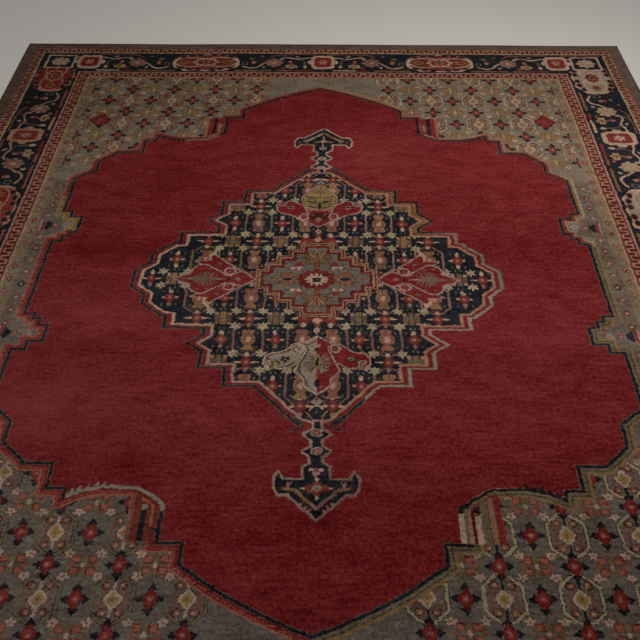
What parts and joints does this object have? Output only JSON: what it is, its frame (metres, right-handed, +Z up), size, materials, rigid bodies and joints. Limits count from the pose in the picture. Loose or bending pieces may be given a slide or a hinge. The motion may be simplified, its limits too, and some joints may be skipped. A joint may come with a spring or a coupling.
{
  "type": "turkish rug",
  "caption": "Flat room-sized knotted wool rug with a stepped medallion, pendants, patterned corners and a wide border.",
  "frame": {"origin": "under the rug's middle, on the floor", "axes": "+Z up out of the pile, +Y along the warps, the rug's length, +X across it"},
  "size_m": [3.0012, 3.91, 0.008],
  "materials": {
    "wool_pile": "worn clipped wool pile, matt, madder red with navy, slate blue and ivory"
  },
  "bodies": {
    "root": {"carpet": "wool_pile"}
  },
  "joints": []
}
